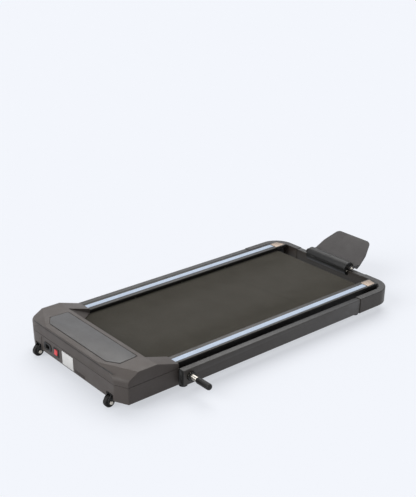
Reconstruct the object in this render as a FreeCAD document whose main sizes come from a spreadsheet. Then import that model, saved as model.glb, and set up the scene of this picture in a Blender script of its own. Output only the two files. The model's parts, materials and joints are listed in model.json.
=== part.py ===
import FreeCAD, Part
import Sketcher
import math
import os

# A flat walking treadmill with a handrail that lies folded down around its deck.
# Millimetres, +Z up. Lengths run along Y (the motor hood is at -Y), widths along X, right side at +X.
# Everything is drawn about the deck's middle on the floor, and each piece is then placed so that the
# document's origin is the middle of the whole object's footprint.

doc = FreeCAD.newDocument("Treadmill")
sheet = doc.addObject("Spreadsheet::Sheet", "Dims")

driving = {
    # overall reach from the deck's middle, and heights above the floor
    "hoodFront": 660, "railEnd": 557, "beltHalf": 246, "beltTop": 92, "hoodBottom": 28, "tubeBottom": 38,
    # motor hood
    "hoodLength": 236, "hoodTopLength": 144, "hoodOverhang": 14, "splitAboveBelt": 2, "coverHeight": 48,
    "noseDrop": 7, "noseRun": 14, "wingCut": 67, "wingEndRise": 4, "cornerWidth": 50, "cornerDepth": 24,
    "cornerRise": 25, "cornerRun": 40, "hoodWall": 3, "trayLength": 85,
    "panelThick": 1.6, "panelProud": 0.6, "panelGap": 0.5, "panelFrontMargin": 25, "panelRearMargin": 18,
    "panelSideMargin": 86, "panelCutWidth": 44, "panelCutDepth": 29, "panelTaper": 5,
    "bossRadius": 6, "bossFrontInset": 46, "bossFrontMargin": 14, "bossSideInset": 10, "bossSideMargin": 75,
    "hoodScrewRadius": 2, "hoodScrewHead": 4, "hoodScrewBite": 10,
    # deck, belt and rollers
    "beltThick": 2, "deckThick": 15, "deckOverlap": 16, "deckToRoller": 35, "rollerRadius": 21,
    "rollerBore": 14, "rollerOverlap": 2, "rollerSetback": 115, "rollerPastRail": 3, "softGap": 0.3,
    "axleRadius": 6, "runGap": 0.05, "bearingWidth": 8, "cushionRadius": 15, "cushionHeight": 5,
    "cushionInset": 62, "deckScrewInset": 8, "deckScrewRadius": 3, "deckScrewHead": 6,
    "deckScrewHeadDepth": 4,
    "deckScrewBite": 12,
    # steel frame
    "frameToBelt": 24, "frameWidth": 18, "frameHeight": 50, "frameWall": 2, "frameSetback": 30,
    "framePastRail": 26, "crossWidth": 30, "crossClear": 2.6, "crossFrontMargin": 70, "crossRearMargin": 25,
    "crossCount": 5, "plateThick": 3, "plateSetback": 20, "plateWidth": 50,
    # side rails and end caps
    "railCover": 4, "railRise": 16, "lipRise": 3, "lipWidth": 14, "railSkirt": 6, "skirtDrop": 6,
    "stripeInset": 19, "stripeWidth": 23, "stripeThick": 1.8, "stripeDepth": 1.5, "stripeGap": 0.1,
    "capLength": 60, "capWall": 3, "capPlateInset": 6, "capPlateLength": 52, "capPlateSkew": 11,
    "capPlateThick": 1.2, "railRound": 2, "capRound": 10,
    # drive
    "motorRadius": 36, "motorLength": 150, "motorSetback": 43, "motorToPulley": 16, "shaftRadius": 5,
    "shaftTail": 25, "flywheelRadius": 30, "flywheelWidth": 18, "cradleHalf": 20, "cradleEnd": 12,
    "cradleFloor": 8, "cradleLift": 8, "motorPulleyRadius": 16, "rollerPulleyRadius": 26, "pulleyToRoller": 3,
    "pulleyWidth": 16, "pulleyHub": 18, "pulleyBore": 8, "driveBeltThick": 3, "driveBeltMargin": 1,
    "boardInset": 70, "boardLength": 250, "boardMargin": 8, "boardRearMargin": 2, "boardLift": 6,
    "boardThick": 1.6, "standoffRadius": 3, "sinkLength": 90, "sinkInset": 118, "sinkHeight": 26,
    "sinkBase": 4,
    "finThick": 1.5, "finPitch": 6, "finCount": 6,
    # front inlet, switch and label
    "recessMargin": 19, "recessNearMargin": 14.5, "recessHeight": 58, "recessDepth": 1.2,
    "inletX": -164.5, "inletRise": 33, "inletWidth": 49, "inletHeight": 31, "inletFlange": 2.5,
    "inletBodyWidth": 29, "inletBodyHeight": 22, "inletBodyDepth": 22, "socketWidth": 25, "socketHeight": 17,
    "socketDepth": 17, "pinLength": 11, "pinWidth": 2, "pinHeight": 4, "pinPitch": 7, "earthRise": 4,
    "switchX": -106.5, "switchRise": 34, "bezelWidth": 34, "bezelHeight": 32, "bezelThick": 2,
    "switchWidth": 27,
    "switchHeight": 28, "switchDepth": 20, "switchCavityDepth": 16, "switchCavityHeight": 24.4,
    "rockerWidth": 20, "rockerHalf": 10, "rockerLean": 8, "rockerFront": 6, "rockerWaist": 4.6,
    "rockerBack": 4,
    "rockerBackHalf": 9, "rockerGap": 0.4, "rockerSink": 4, "rockerPinRadius": 1.5, "rockerPinLength": 1.5,
    "labelLeft": 65, "labelRight": 7, "labelRise": 6, "labelHeight": 53, "labelThick": 0.4,
    # transport wheels and feet
    "wheelInset": 77, "wheelRadius": 20, "wheelWidth": 16, "wheelRound": 2.5, "wheelPlay": 1,
    "wheelBoltRadius": 4, "cheekGap": 1.5, "cheekThick": 3, "cheekFront": 12, "cheekDrop": 8,
    "bracketPlay": 6,
    "wellPlay": 6.5, "boltHead": 7, "boltHeadThick": 4, "footRadius": 16, "footHeight": 12, "footStem": 6,
    "footFrontMargin": 40, "footRearMargin": 57,
    # handrail
    "tubeWidth": 26, "tubeHeight": 60, "tubeWall": 2, "tubeRound": 3, "pivotGap": 20, "pivotMargin": 28,
    "pivotRadius": 6, "pivotPlay": 0.15, "pivotLead": 32, "pivotBossRadius": 18, "crossbarGap": 17,
    "elbowLength": 199, "elbowProud": 1.5, "elbowFit": 0.1, "elbowRadius": 72, "elbowRound": 3,
    "sleeveEnd": 190, "tubeInsert": 25, "capThick": 3, "plugDepth": 14, "pivotHeadRadius": 10,
    "pivotHeadThick": 6,
    # holder and tablet plate
    "rollRadius": 28, "rollHalf": 112, "rollSetback": 7, "rollRise": 5, "tiltForward": 3, "tiltRise": 7,
    "tiltAngle": 33.8, "plateThickness": 5, "plateBend": 95, "plateShoulder": 44, "plateTop": 164,
    "plateBendHalf": 120, "plateTopHalf": 91, "plateRound": 24, "bendRound": 30, "plateGap": 1.3,
    "plateClear": 9, "earGap": 13.5, "earThick": 3, "earRadius": 9, "earNotch": 21.9, "earNotchDrop": 15.8,
    "tiltPinRadius": 3, "tiltPinDepth": 15, "tiltHeadRadius": 6, "tiltHeadThick": 3, "lockForward": 12,
    "lockDrop": 6, "lockHead": 4, "lockHeadThick": 2.5, "lockRadius": 2,
    # clamp handle
    "collarRadius": 16, "collarThick": 3, "barrelRadius": 10, "barrelLength": 35, "gripRadius": 12,
    "gripLength": 68, "gripRound": 9, "gripNeck": 2,
}


class Size:
    """A length that carries both its number and the sheet formula it comes from."""

    def __init__(self, formula, number):
        self.formula = formula
        self.number = float(number)

    def __add__(self, other):
        return joined(self, "+", other)

    def __radd__(self, other):
        return joined(other, "+", self)

    def __sub__(self, other):
        return joined(self, "-", other)

    def __rsub__(self, other):
        return joined(other, "-", self)

    def __mul__(self, other):
        return joined(self, "*", other)

    def __rmul__(self, other):
        return joined(other, "*", self)

    def __truediv__(self, other):
        return joined(self, "/", other)

    def __neg__(self):
        return joined(0, "-", self)


def asSize(value):
    return value if isinstance(value, Size) else Size(f"{value:.6f}".rstrip("0").rstrip("."), value)


def joined(left, sign, right):
    left, right = asSize(left), asSize(right)
    results = {
        "+": left.number + right.number,
        "-": left.number - right.number,
        "*": left.number * right.number,
        "/": left.number / right.number if right.number else 0.0,
    }
    return Size(f"({left.formula} {sign} {right.formula})", results[sign])


class Driving:
    """The sheet's sizes by name."""


dim = Driving()
for row, (word, amount) in enumerate(driving.items(), start=1):
    sheet.set(f"A{row}", str(amount))
    sheet.setAlias(f"A{row}", word)
    setattr(dim, word, Size(f"Dims.{word}", amount))
doc.recompute()

# Places along Z that follow from the driving sizes.
beltBase = dim.beltTop - dim.beltThick
rollerZ = beltBase - dim.softGap - dim.rollerRadius
beltRadius = dim.rollerRadius + dim.softGap
deckBottom = beltBase - dim.deckThick
crossTop = deckBottom - dim.cushionHeight
crossBottom = rollerZ - beltRadius + dim.crossClear
frameBottom = dim.beltTop - dim.frameHeight
railTop = dim.beltTop + dim.railRise
hoodSplit = dim.beltTop + dim.splitAboveBelt
hoodTop = hoodSplit + dim.coverHeight
cornerHeight = hoodTop - dim.cornerRise
tubeTop = dim.tubeBottom + dim.tubeHeight
tubeMidZ = dim.tubeBottom + dim.tubeHeight / 2
wingEndHeight = railTop + dim.wingEndRise
hoodScrewTop = hoodSplit + dim.hoodScrewBite
railSkirtZ = frameBottom - dim.skirtDrop
bracketTop = 2 * dim.wheelRadius + dim.bracketPlay + dim.cheekThick

# Places along X, from the belt outwards.
railInner = dim.beltHalf - dim.railCover
deckHalf = dim.beltHalf + dim.deckOverlap
rollerHalf = dim.beltHalf + dim.rollerOverlap
pulleyStart = rollerHalf + dim.pulleyToRoller
pulleyEnd = pulleyStart + dim.pulleyWidth
frameInner = dim.beltHalf + dim.frameToBelt
frameOuter = frameInner + dim.frameWidth
frameMid = frameInner + dim.frameWidth / 2
railOuter = frameOuter + dim.railSkirt
hoodHalf = railOuter + dim.hoodOverhang
panelHalf = hoodHalf - dim.panelSideMargin
stripeInner = railInner + dim.stripeInset
stripeOuter = stripeInner + dim.stripeWidth
wheelX = hoodHalf - dim.wheelInset
tubeInner = railOuter + dim.pivotGap
tubeOuter = tubeInner + dim.tubeWidth
tubeMidX = tubeInner + dim.tubeWidth / 2
pivotReach = frameInner + dim.frameWall
barrelEnd = tubeOuter + dim.barrelLength
gripEnd = barrelEnd + dim.gripLength

# Places along Y, from the hood's face backwards and from the rails' ends.
faceY = -dim.hoodFront
recessFloor = faceY + dim.recessDepth
railStart = faceY + dim.hoodLength
hoodRear = faceY + dim.hoodTopLength
panelFront = faceY + dim.panelFrontMargin
plateFront = faceY + dim.plateSetback
plateRear = plateFront + dim.plateWidth
frameFront = faceY + dim.frameSetback
rollerFrontY = faceY + dim.rollerSetback
motorY = faceY + dim.motorSetback
wheelY = plateFront - dim.cheekThick - dim.wheelPlay - dim.wheelRadius
pivotY = railStart + dim.pivotMargin
capRear = dim.railEnd + dim.capLength
rollerRearY = dim.railEnd + dim.rollerPastRail
frameRear = dim.railEnd + dim.framePastRail
deckFront = rollerFrontY + dim.deckToRoller
deckRear = rollerRearY - dim.deckToRoller
crossFirst = deckFront + dim.crossFrontMargin
crossPitch = (deckRear - dim.crossRearMargin - crossFirst) / (dim.crossCount - 1)
crossPlaces = [crossFirst + crossPitch * step for step in range(int(dim.crossCount.number))]
crossbarFront = capRear + dim.crossbarGap
crossbarRear = crossbarFront + dim.tubeWidth
crossbarMidY = crossbarFront + dim.tubeWidth / 2
elbowStart = crossbarRear - dim.elbowLength
rollY = crossbarMidY - dim.rollSetback
rollZ = tubeTop + dim.rollRise
tiltY = rollY - dim.tiltForward
tiltZ = rollZ + dim.tiltRise
plateDrop = dim.rollRadius - dim.plateGap
plateBase = dim.rollRadius / 2 + dim.plateClear
plateLow = -plateDrop - dim.plateThickness

# The footprint's middle, where the origin goes.
tiltRadians = math.radians(dim.tiltAngle.number)
plateReach = dim.plateTop * math.cos(tiltRadians) - plateLow * math.sin(tiltRadians)
originX = (gripEnd - tubeOuter - dim.softGap - dim.pivotHeadThick) / 2
originY = (tiltY + plateReach + wheelY - dim.wheelRadius) / 2

finished = []


# ---------------------------------------------------------------- helpers

def bind(thing, path, value):
    thing.setExpression(path, asSize(value).formula)


def stand(thing, at, axis=None, angle=0):
    """Put a shape at a point about the deck's middle, turned about one axis."""
    if axis is not None:
        thing.Placement = FreeCAD.Placement(
            FreeCAD.Vector(), FreeCAD.Rotation(FreeCAD.Vector(*axis), asSize(angle).number)
        )
    for letter, value in zip("xyz", at):
        bind(thing, f"Placement.Base.{letter}", value)


def circle(x, y, radius):
    return ("circle", x, y, radius)


def box(x0, x1, y0, y1):
    return [(x0, y0), (x1, y0), (x1, y1), (x0, y1)]


def mirroredLoop(points):
    """Points down the +X side, closed by their mirror images."""
    return points + [(-x, y) for x, y in reversed(points)]


def pin(sketch, geometry, end, x, y):
    for kind, value in (("DistanceX", x), ("DistanceY", y)):
        value = asSize(value)
        index = sketch.addConstraint(Sketcher.Constraint(kind, geometry, end, value.number))
        sketch.setExpression(f"Constraints[{index}]", value.formula)


def draw(sketch, loops):
    """Draw closed loops with every corner, centre and radius tied to the sheet."""
    for loop in loops:
        if loop[0] == "circle":
            x, y, radius = (asSize(value) for value in loop[1:])
            centre = FreeCAD.Vector(x.number, y.number, 0)
            ring = sketch.addGeometry(Part.Circle(centre, FreeCAD.Vector(0, 0, 1), radius.number))
            index = sketch.addConstraint(Sketcher.Constraint("Radius", ring, radius.number))
            sketch.setExpression(f"Constraints[{index}]", radius.formula)
            pin(sketch, ring, 3, x, y)
            continue
        corners = [(asSize(x), asSize(y)) for x, y in loop]
        first = sketch.GeometryCount
        for here, there in zip(corners, corners[1:] + corners[:1]):
            start = FreeCAD.Vector(here[0].number, here[1].number, 0)
            stop = FreeCAD.Vector(there[0].number, there[1].number, 0)
            sketch.addGeometry(Part.LineSegment(start, stop))
        for step, corner in enumerate(corners):
            line = first + step
            following = first + (step + 1) % len(corners)
            sketch.addConstraint(Sketcher.Constraint("Coincident", line, 2, following, 1))
            pin(sketch, line, 1, *corner)


def startBody(name):
    body = doc.addObject("PartDesign::Body", name)
    body.Label = name
    return body


planeSigns = {"XY_Plane": 1, "XZ_Plane": -1, "YZ_Plane": 1}


def sketchIn(body, plane, height, loops):
    """A sketch on one of the body's own planes, moved to a height along the axis it faces."""
    sketch = body.newObject("Sketcher::SketchObject", f"{body.Name}Sketch")
    support = [item for item in body.Origin.OriginFeatures if item.Role == plane][0]
    sketch.AttachmentSupport = (support, [""])
    sketch.MapMode = "FlatFace"
    bind(sketch, "AttachmentOffset.Base.z", planeSigns[plane] * height)
    draw(sketch, loops)
    return sketch


def pad(body, plane, start, length, *loops):
    """Add material from start, for a length towards the plane's + axis."""
    sketch = sketchIn(body, plane, start, loops)
    feature = body.newObject("PartDesign::Pad", f"{body.Name}Pad")
    feature.Profile = sketch
    bind(feature, "Length", length)
    feature.Reversed = planeSigns[plane] < 0
    doc.recompute()
    return feature


def pocket(body, plane, start, length, *loops):
    """Remove material from start, for a length towards the plane's + axis."""
    before = body.Shape.Volume
    sketch = sketchIn(body, plane, start, loops)
    feature = body.newObject("PartDesign::Pocket", f"{body.Name}Pocket")
    feature.Profile = sketch
    bind(feature, "Length", length)
    feature.Reversed = planeSigns[plane] > 0
    doc.recompute()
    if body.Shape.Volume > before - 0.01:
        raise RuntimeError(f"{body.Name}: a pocket removed nothing")
    return feature


def turned(name, *profiles):
    """A turned piece: profiles of (x, radius) spun about its own X axis."""
    body = startBody(name)
    sketch = sketchIn(body, "XZ_Plane", 0, profiles)
    feature = body.newObject("PartDesign::Revolution", f"{name}Turn")
    feature.Profile = sketch
    feature.ReferenceAxis = (sketch, ["H_Axis"])
    feature.Angle = 360
    doc.recompute()
    return body


def roundEdges(body, radius, chosen):
    """Fillet the edges for which chosen(first corner, second corner) is true."""
    names = []
    for number, edge in enumerate(body.Shape.Edges, start=1):
        ends = [vertex.Point for vertex in edge.Vertexes]
        if chosen(ends[0], ends[-1]):
            names.append(f"Edge{number}")
    base = body.Tip
    feature = body.newObject("PartDesign::Fillet", f"{body.Name}Fillet")
    feature.Base = (base, names)
    bind(feature, "Radius", radius)
    doc.recompute()


def near(value, size):
    return abs(value - asSize(size).number) < 0.01


def prism(name, plane, start, length, *loops):
    """A plain extruded solid for the booleans, in the same planes as the bodies use."""
    sketch = doc.addObject("Sketcher::SketchObject", f"{name}Sketch")
    if plane == "YZ_Plane":
        sketch.Placement.Rotation = FreeCAD.Rotation(FreeCAD.Vector(1, 1, 1), 120)
        bind(sketch, "Placement.Base.x", start)
    else:
        bind(sketch, "Placement.Base.z", start)
    draw(sketch, loops)
    solid = doc.addObject("Part::Extrusion", name)
    solid.Base = sketch
    solid.DirMode = "Normal"
    solid.Solid = True
    bind(solid, "LengthFwd", length)
    return solid


def boolean(kind, name, base, tool):
    result = doc.addObject(f"Part::{kind}", name)
    result.Base = base
    result.Tool = tool
    return result


def rod(name, radius, length, at):
    """An upright cylinder from a point."""
    solid = doc.addObject("Part::Cylinder", name)
    bind(solid, "Radius", radius)
    bind(solid, "Height", length)
    stand(solid, at)
    return solid


def fused(name, solids):
    result = doc.addObject("Part::MultiFuse", name)
    result.Shapes = solids
    return result


def group(name, solids):
    """Like pieces kept together in one node."""
    bunch = doc.addObject("Part::Compound", name)
    bunch.Links = solids
    return bunch


def keep(piece, at=(0, 0, 0), axis=None, angle=0):
    """Count a shape as a finished piece, and put it at a point about the deck's middle."""
    piece.Label = piece.Name
    stand(piece, (at[0] - originX, at[1] - originY, at[2]), axis, angle)
    finished.append(piece)


def hexagon(radius):
    return [(radius * math.cos(math.radians(60 * turn)), radius * math.sin(math.radians(60 * turn)))
            for turn in range(6)]


def hexBolt(name, headRadius, headThick, shankRadius, shankLength):
    """A bolt along its own X axis, with the head's underside at zero."""
    body = startBody(name)
    pad(body, "YZ_Plane", -headThick, headThick, hexagon(headRadius))
    pad(body, "YZ_Plane", 0, shankLength, circle(0, 0, shankRadius))
    return body


def ring(name, start, length, bore, radius):
    return turned(name, [(start, bore), (start + length, bore), (start + length, radius), (start, radius)])


def band(sign, near, far):
    """Start and length along X of a band from near to far, on one side of the middle."""
    return (near if sign > 0 else -far), far - near


sides = {"right": 1, "left": -1}


# ---------------------------------------------------------------- steel frame

pivot = (pivotY, tubeMidZ)

for side, sign in sides.items():
    rail = startBody(f"frame_rail_{side}")
    length = frameRear - frameFront
    pad(rail, "XZ_Plane", frameFront, length,
        box(sign * frameInner, sign * frameOuter, frameBottom, dim.beltTop))
    pocket(rail, "XZ_Plane", frameFront, length - dim.frameWall,
           box(sign * (frameInner + dim.frameWall), sign * (frameOuter - dim.frameWall),
               frameBottom + dim.frameWall, dim.beltTop - dim.frameWall))
    pocket(rail, "YZ_Plane", *band(sign, frameInner, frameOuter),
           circle(rollerFrontY, rollerZ, dim.axleRadius),
           circle(rollerRearY, rollerZ, dim.axleRadius),
           circle(*pivot, dim.pivotRadius + dim.runGap))
    pocket(rail, "XZ_Plane", frameRear - dim.frameWall, dim.frameWall,
           circle(sign * frameMid, rollerZ, dim.wheelBoltRadius))
    keep(rail)

crossMembers = []
for step, centreY in enumerate(crossPlaces):
    low, high = centreY - dim.crossWidth / 2, centreY + dim.crossWidth / 2
    bar = startBody(f"cross_member_{step + 1}")
    pad(bar, "XY_Plane", crossBottom, crossTop - crossBottom,
        box(-frameInner, frameInner, low, high))
    pocket(bar, "YZ_Plane", -frameInner, 2 * frameInner,
           box(low + dim.frameWall, high - dim.frameWall,
               crossBottom + dim.frameWall, crossTop - dim.frameWall))
    pocket(bar, "XY_Plane", crossTop - dim.deckScrewBite, dim.deckScrewBite,
           *[circle(sign * (deckHalf - dim.deckScrewInset), centreY, dim.deckScrewRadius)
             for sign in sides.values()])
    crossMembers.append(bar)
keep(group("cross_members", crossMembers))

boardX = dim.boardInset - hoodHalf
boardZ = frameBottom + dim.boardLift
boardLow, boardHigh = plateFront + dim.boardMargin, plateRear - dim.boardRearMargin
standoffInset = dim.standoffRadius * 2
motorPlate = startBody("motor_plate")
pad(motorPlate, "XY_Plane", frameBottom - dim.plateThick, dim.plateThick,
    box(-frameOuter, frameOuter, plateFront, plateRear))
pad(motorPlate, "XY_Plane", frameBottom, boardZ - frameBottom,
    *[circle(x, y, dim.standoffRadius)
      for x in (boardX + standoffInset, boardX + dim.boardLength - standoffInset)
      for y in (boardLow + standoffInset, boardHigh - standoffInset)])
keep(motorPlate)

# ---------------------------------------------------------------- deck and belt

screwPlaces = [(sign * (deckHalf - dim.deckScrewInset), y) for y in crossPlaces for sign in sides.values()]

deck = startBody("deck_board")
pad(deck, "XY_Plane", deckBottom, dim.deckThick, box(-deckHalf, deckHalf, deckFront, deckRear))
pocket(deck, "XY_Plane", deckBottom, dim.deckThick,
       *[circle(x, y, dim.deckScrewRadius) for x, y in screwPlaces])
pocket(deck, "XY_Plane", beltBase - dim.deckScrewHeadDepth, dim.deckScrewHeadDepth,
       *[circle(x, y, dim.deckScrewHead) for x, y in screwPlaces])
keep(deck)

keep(group("deck_cushions", [
    rod(f"cushion_{number}", dim.cushionRadius, dim.cushionHeight,
        (sign * (deckHalf - dim.cushionInset), y, crossTop))
    for number, (sign, y) in enumerate((sign, y) for y in crossPlaces for sign in sides.values())
]))

deckScrews = []
shankBottom = crossTop - dim.deckScrewBite
headBottom = beltBase - dim.deckScrewHeadDepth
for number, (x, y) in enumerate(screwPlaces):
    shank = rod(f"deck_shank_{number}", dim.deckScrewRadius, headBottom - shankBottom, (x, y, shankBottom))
    head = rod(f"deck_head_{number}", dim.deckScrewHead, dim.deckScrewHeadDepth, (x, y, headBottom))
    deckScrews.append(fused(f"deck_screw_{number}", [shank, head]))
keep(group("deck_screws", deckScrews))


def beltFace(start, front, frontRadius, rear, rearRadius):
    """The flat face inside an open belt around two pulleys, at one X."""
    heading = math.atan2(rear[1] - front[1], rear[0] - front[0])
    spread = math.acos((frontRadius - rearRadius) / math.dist(front, rear))

    def onRim(centre, radius, angle):
        y, z = centre[0] + radius * math.cos(angle), centre[1] + radius * math.sin(angle)
        return FreeCAD.Vector(start, y, z)

    frontHigh, frontLow = (onRim(front, frontRadius, heading + turn) for turn in (spread, -spread))
    rearHigh, rearLow = (onRim(rear, rearRadius, heading + turn) for turn in (spread, -spread))
    edges = [
        Part.Arc(frontHigh, onRim(front, frontRadius, heading + math.pi), frontLow).toShape(),
        Part.LineSegment(frontLow, rearLow).toShape(),
        Part.Arc(rearLow, onRim(rear, rearRadius, heading), rearHigh).toShape(),
        Part.LineSegment(rearHigh, frontHigh).toShape(),
    ]
    return Part.Face(Part.Wire(edges))


def openBelt(name, start, width, front, frontRadius, rear, rearRadius, thick):
    """A flat belt lying around two pulleys, read from the sheet's numbers."""
    start, width, thick = start.number, width.number, thick.number
    front, rear = ([value.number for value in centre] for centre in (front, rear))
    loops = [beltFace(start, front, frontRadius.number + extra, rear, rearRadius.number + extra)
             for extra in (thick, 0)]
    outside, inside = (face.extrude(FreeCAD.Vector(width, 0, 0)) for face in loops)
    belt = doc.addObject("Part::Feature", name)
    belt.Shape = outside.cut(inside)
    return belt


frontCentre = (rollerFrontY, rollerZ)
rearCentre = (rollerRearY, rollerZ)
keep(openBelt("running_belt", -dim.beltHalf, 2 * dim.beltHalf,
              frontCentre, beltRadius, rearCentre, beltRadius,
              dim.beltThick))

for end, (centreY, centreZ) in {"front": frontCentre, "rear": rearCentre}.items():
    at = (0, centreY, centreZ)
    keep(ring(f"{end}_roller", -rollerHalf, 2 * rollerHalf, dim.rollerBore, dim.rollerRadius), at)
    keep(group(f"{end}_bearings", [
        ring(f"{end}_bearing_{side}", band(sign, rollerHalf - dim.bearingWidth, rollerHalf)[0],
             dim.bearingWidth, dim.axleRadius + dim.runGap, dim.rollerBore)
        for side, sign in sides.items()
    ]), at)
    axle = startBody(f"{end}_axle")
    pad(axle, "YZ_Plane", -frameOuter, 2 * frameOuter, circle(centreY, centreZ, dim.axleRadius))
    keep(axle)

keep(turned("front_pulley", [
    (rollerHalf, dim.pulleyBore), (rollerHalf, dim.pulleyHub), (pulleyStart, dim.pulleyHub),
    (pulleyStart, dim.rollerPulleyRadius), (pulleyEnd, dim.rollerPulleyRadius), (pulleyEnd, dim.pulleyBore),
]), (0, *frontCentre))

tensionBolts = []
for side, sign in sides.items():
    bolt = hexBolt(f"tension_bolt_{side}", dim.boltHead, dim.boltHeadThick, dim.wheelBoltRadius,
                   frameRear - rollerRearY - dim.axleRadius)
    stand(bolt, (sign * frameMid, frameRear, rollerZ), (0, 0, 1), -90)
    tensionBolts.append(bolt)
keep(group("tension_bolts", tensionBolts))

# ---------------------------------------------------------------- drive

motorZ = frameBottom + dim.cradleFloor + dim.motorRadius
motorAxis = (0, motorY, motorZ)
motorStart = pulleyStart - dim.motorToPulley - dim.motorLength
shaftStart = motorStart - dim.shaftTail
keep(ring("motor_can", motorStart, dim.motorLength, dim.shaftRadius + dim.runGap, dim.motorRadius), motorAxis)
keep(ring("motor_pulley", pulleyStart, dim.pulleyWidth, dim.shaftRadius, dim.motorPulleyRadius), motorAxis)
keep(ring("flywheel", shaftStart, dim.flywheelWidth, dim.shaftRadius, dim.flywheelRadius), motorAxis)
shaft = startBody("motor_shaft")
pad(shaft, "YZ_Plane", shaftStart, pulleyEnd - shaftStart,
    circle(motorY, motorZ, dim.shaftRadius))
keep(shaft)

cradle = startBody("motor_bracket")
cradleTop = motorZ - dim.motorRadius + dim.cradleLift
pad(cradle, "YZ_Plane", motorStart + dim.cradleEnd, dim.motorLength - 2 * dim.cradleEnd,
    box(motorY - dim.cradleHalf, motorY + dim.cradleHalf, frameBottom, cradleTop))
pocket(cradle, "YZ_Plane", motorStart, dim.motorLength, circle(motorY, motorZ, dim.motorRadius))
keep(cradle)

driveBeltWidth = dim.pulleyWidth - 2 * dim.driveBeltMargin
keep(openBelt("drive_belt", pulleyStart + dim.driveBeltMargin, driveBeltWidth, (motorY, motorZ),
              dim.motorPulleyRadius + dim.softGap, frontCentre, dim.rollerPulleyRadius + dim.softGap,
              dim.driveBeltThick))

board = startBody("control_board")
pad(board, "XY_Plane", boardZ, dim.boardThick,
    box(boardX, boardX + dim.boardLength, boardLow, boardHigh))
keep(board)

sink = startBody("control_heatsink")
sinkBottom = boardZ + dim.boardThick
finSpan = dim.finPitch * (dim.finCount - 1)
finFirst = (boardLow + boardHigh) / 2 - finSpan / 2
sinkX = boardX + dim.sinkInset
pad(sink, "XY_Plane", sinkBottom, dim.sinkBase,
    box(sinkX, sinkX + dim.sinkLength, finFirst - dim.finThick, finFirst + finSpan + dim.finThick))
fin = pad(sink, "XY_Plane", sinkBottom + dim.sinkBase, dim.sinkHeight - dim.sinkBase,
          box(sinkX, sinkX + dim.sinkLength, finFirst - dim.finThick / 2, finFirst + dim.finThick / 2))
fins = sink.newObject("PartDesign::LinearPattern", "sinkFins")
fins.Originals = [fin]
fins.Direction = (fin.Profile[0], ["V_Axis"])
bind(fins, "Length", finSpan)
fins.Occurrences = int(dim.finCount.number)
sink.Tip = fins
doc.recompute()
keep(sink)

# ---------------------------------------------------------------- side rails and end caps


def railSection(sign):
    lipEnd = railInner + dim.lipWidth
    return [(sign * x, z) for x, z in (
        (railInner, dim.beltTop + dim.lipRise), (lipEnd, dim.beltTop + dim.lipRise),
        (lipEnd, dim.beltTop), (frameOuter, dim.beltTop),
        (frameOuter, railSkirtZ), (railOuter, railSkirtZ), (railOuter, railTop),
        (railInner, railTop),
    )]


railLength = dim.railEnd - railStart
for side, sign in sides.items():
    rail = startBody(f"side_rail_{side}")
    pad(rail, "XZ_Plane", railStart, railLength, railSection(sign))
    roundEdges(rail, dim.railRound, lambda a, b: near(a.z, railTop) and near(b.z, railTop)
               and abs(a.x - b.x) < 0.01)
    pocket(rail, "XY_Plane", railTop - dim.stripeDepth, dim.stripeThick,
           box(sign * stripeInner, sign * stripeOuter, railStart, dim.railEnd))
    pocket(rail, "YZ_Plane", *band(sign, frameOuter, railOuter),
           circle(*pivot, dim.pivotRadius + dim.runGap))
    keep(rail)

    stripe = startBody(f"side_stripe_{side}")
    pad(stripe, "XY_Plane", railTop - dim.stripeDepth, dim.stripeThick,
        box(sign * (stripeInner + dim.stripeGap), sign * (stripeOuter - dim.stripeGap),
            railStart, dim.railEnd))
    keep(stripe)

    cap = startBody(f"rear_cap_{side}")
    pad(cap, "XZ_Plane", dim.railEnd, dim.capLength, railSection(sign))
    pad(cap, "XZ_Plane", capRear - dim.capWall, dim.capWall,
        box(sign * (railInner + dim.lipWidth), sign * railOuter, railSkirtZ, railTop))
    roundEdges(cap, dim.capRound, lambda a, b: near(abs(a.x), railOuter) and near(abs(b.x), railOuter)
               and near(a.y, capRear) and near(b.y, capRear))
    insetNear, insetFar = railInner + dim.capPlateInset, railOuter - dim.capPlateInset
    insetFront = dim.railEnd + (dim.capLength - dim.capPlateLength) / 2
    insetRear = insetFront + dim.capPlateLength
    insetLoop = [(sign * insetNear, insetFront), (sign * insetFar, insetFront),
                 (sign * insetFar, insetRear - dim.capPlateSkew), (sign * insetNear, insetRear)]
    pocket(cap, "XY_Plane", railTop - dim.capPlateThick, dim.capPlateThick, insetLoop)
    keep(cap)

    inset = startBody(f"cap_plate_{side}")
    pad(inset, "XY_Plane", railTop - dim.capPlateThick, dim.capPlateThick + dim.panelProud, insetLoop)
    keep(inset)

# ---------------------------------------------------------------- motor hood


def coverPlan(inset):
    return mirroredLoop([
        (hoodHalf - dim.cornerWidth - inset / 2, faceY + inset),
        (hoodHalf - inset, faceY + dim.cornerDepth + inset / 2),
        (hoodHalf - inset, railStart - inset),
        (railInner + inset, railStart - inset),
        (railInner - dim.wingCut + inset, hoodRear - inset),
    ])


def trayPlan(inset, rear):
    return mirroredLoop([
        (hoodHalf - dim.cornerWidth - inset / 2, faceY + inset),
        (hoodHalf - inset, faceY + dim.cornerDepth + inset / 2),
        (hoodHalf - inset, rear),
    ])


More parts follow.
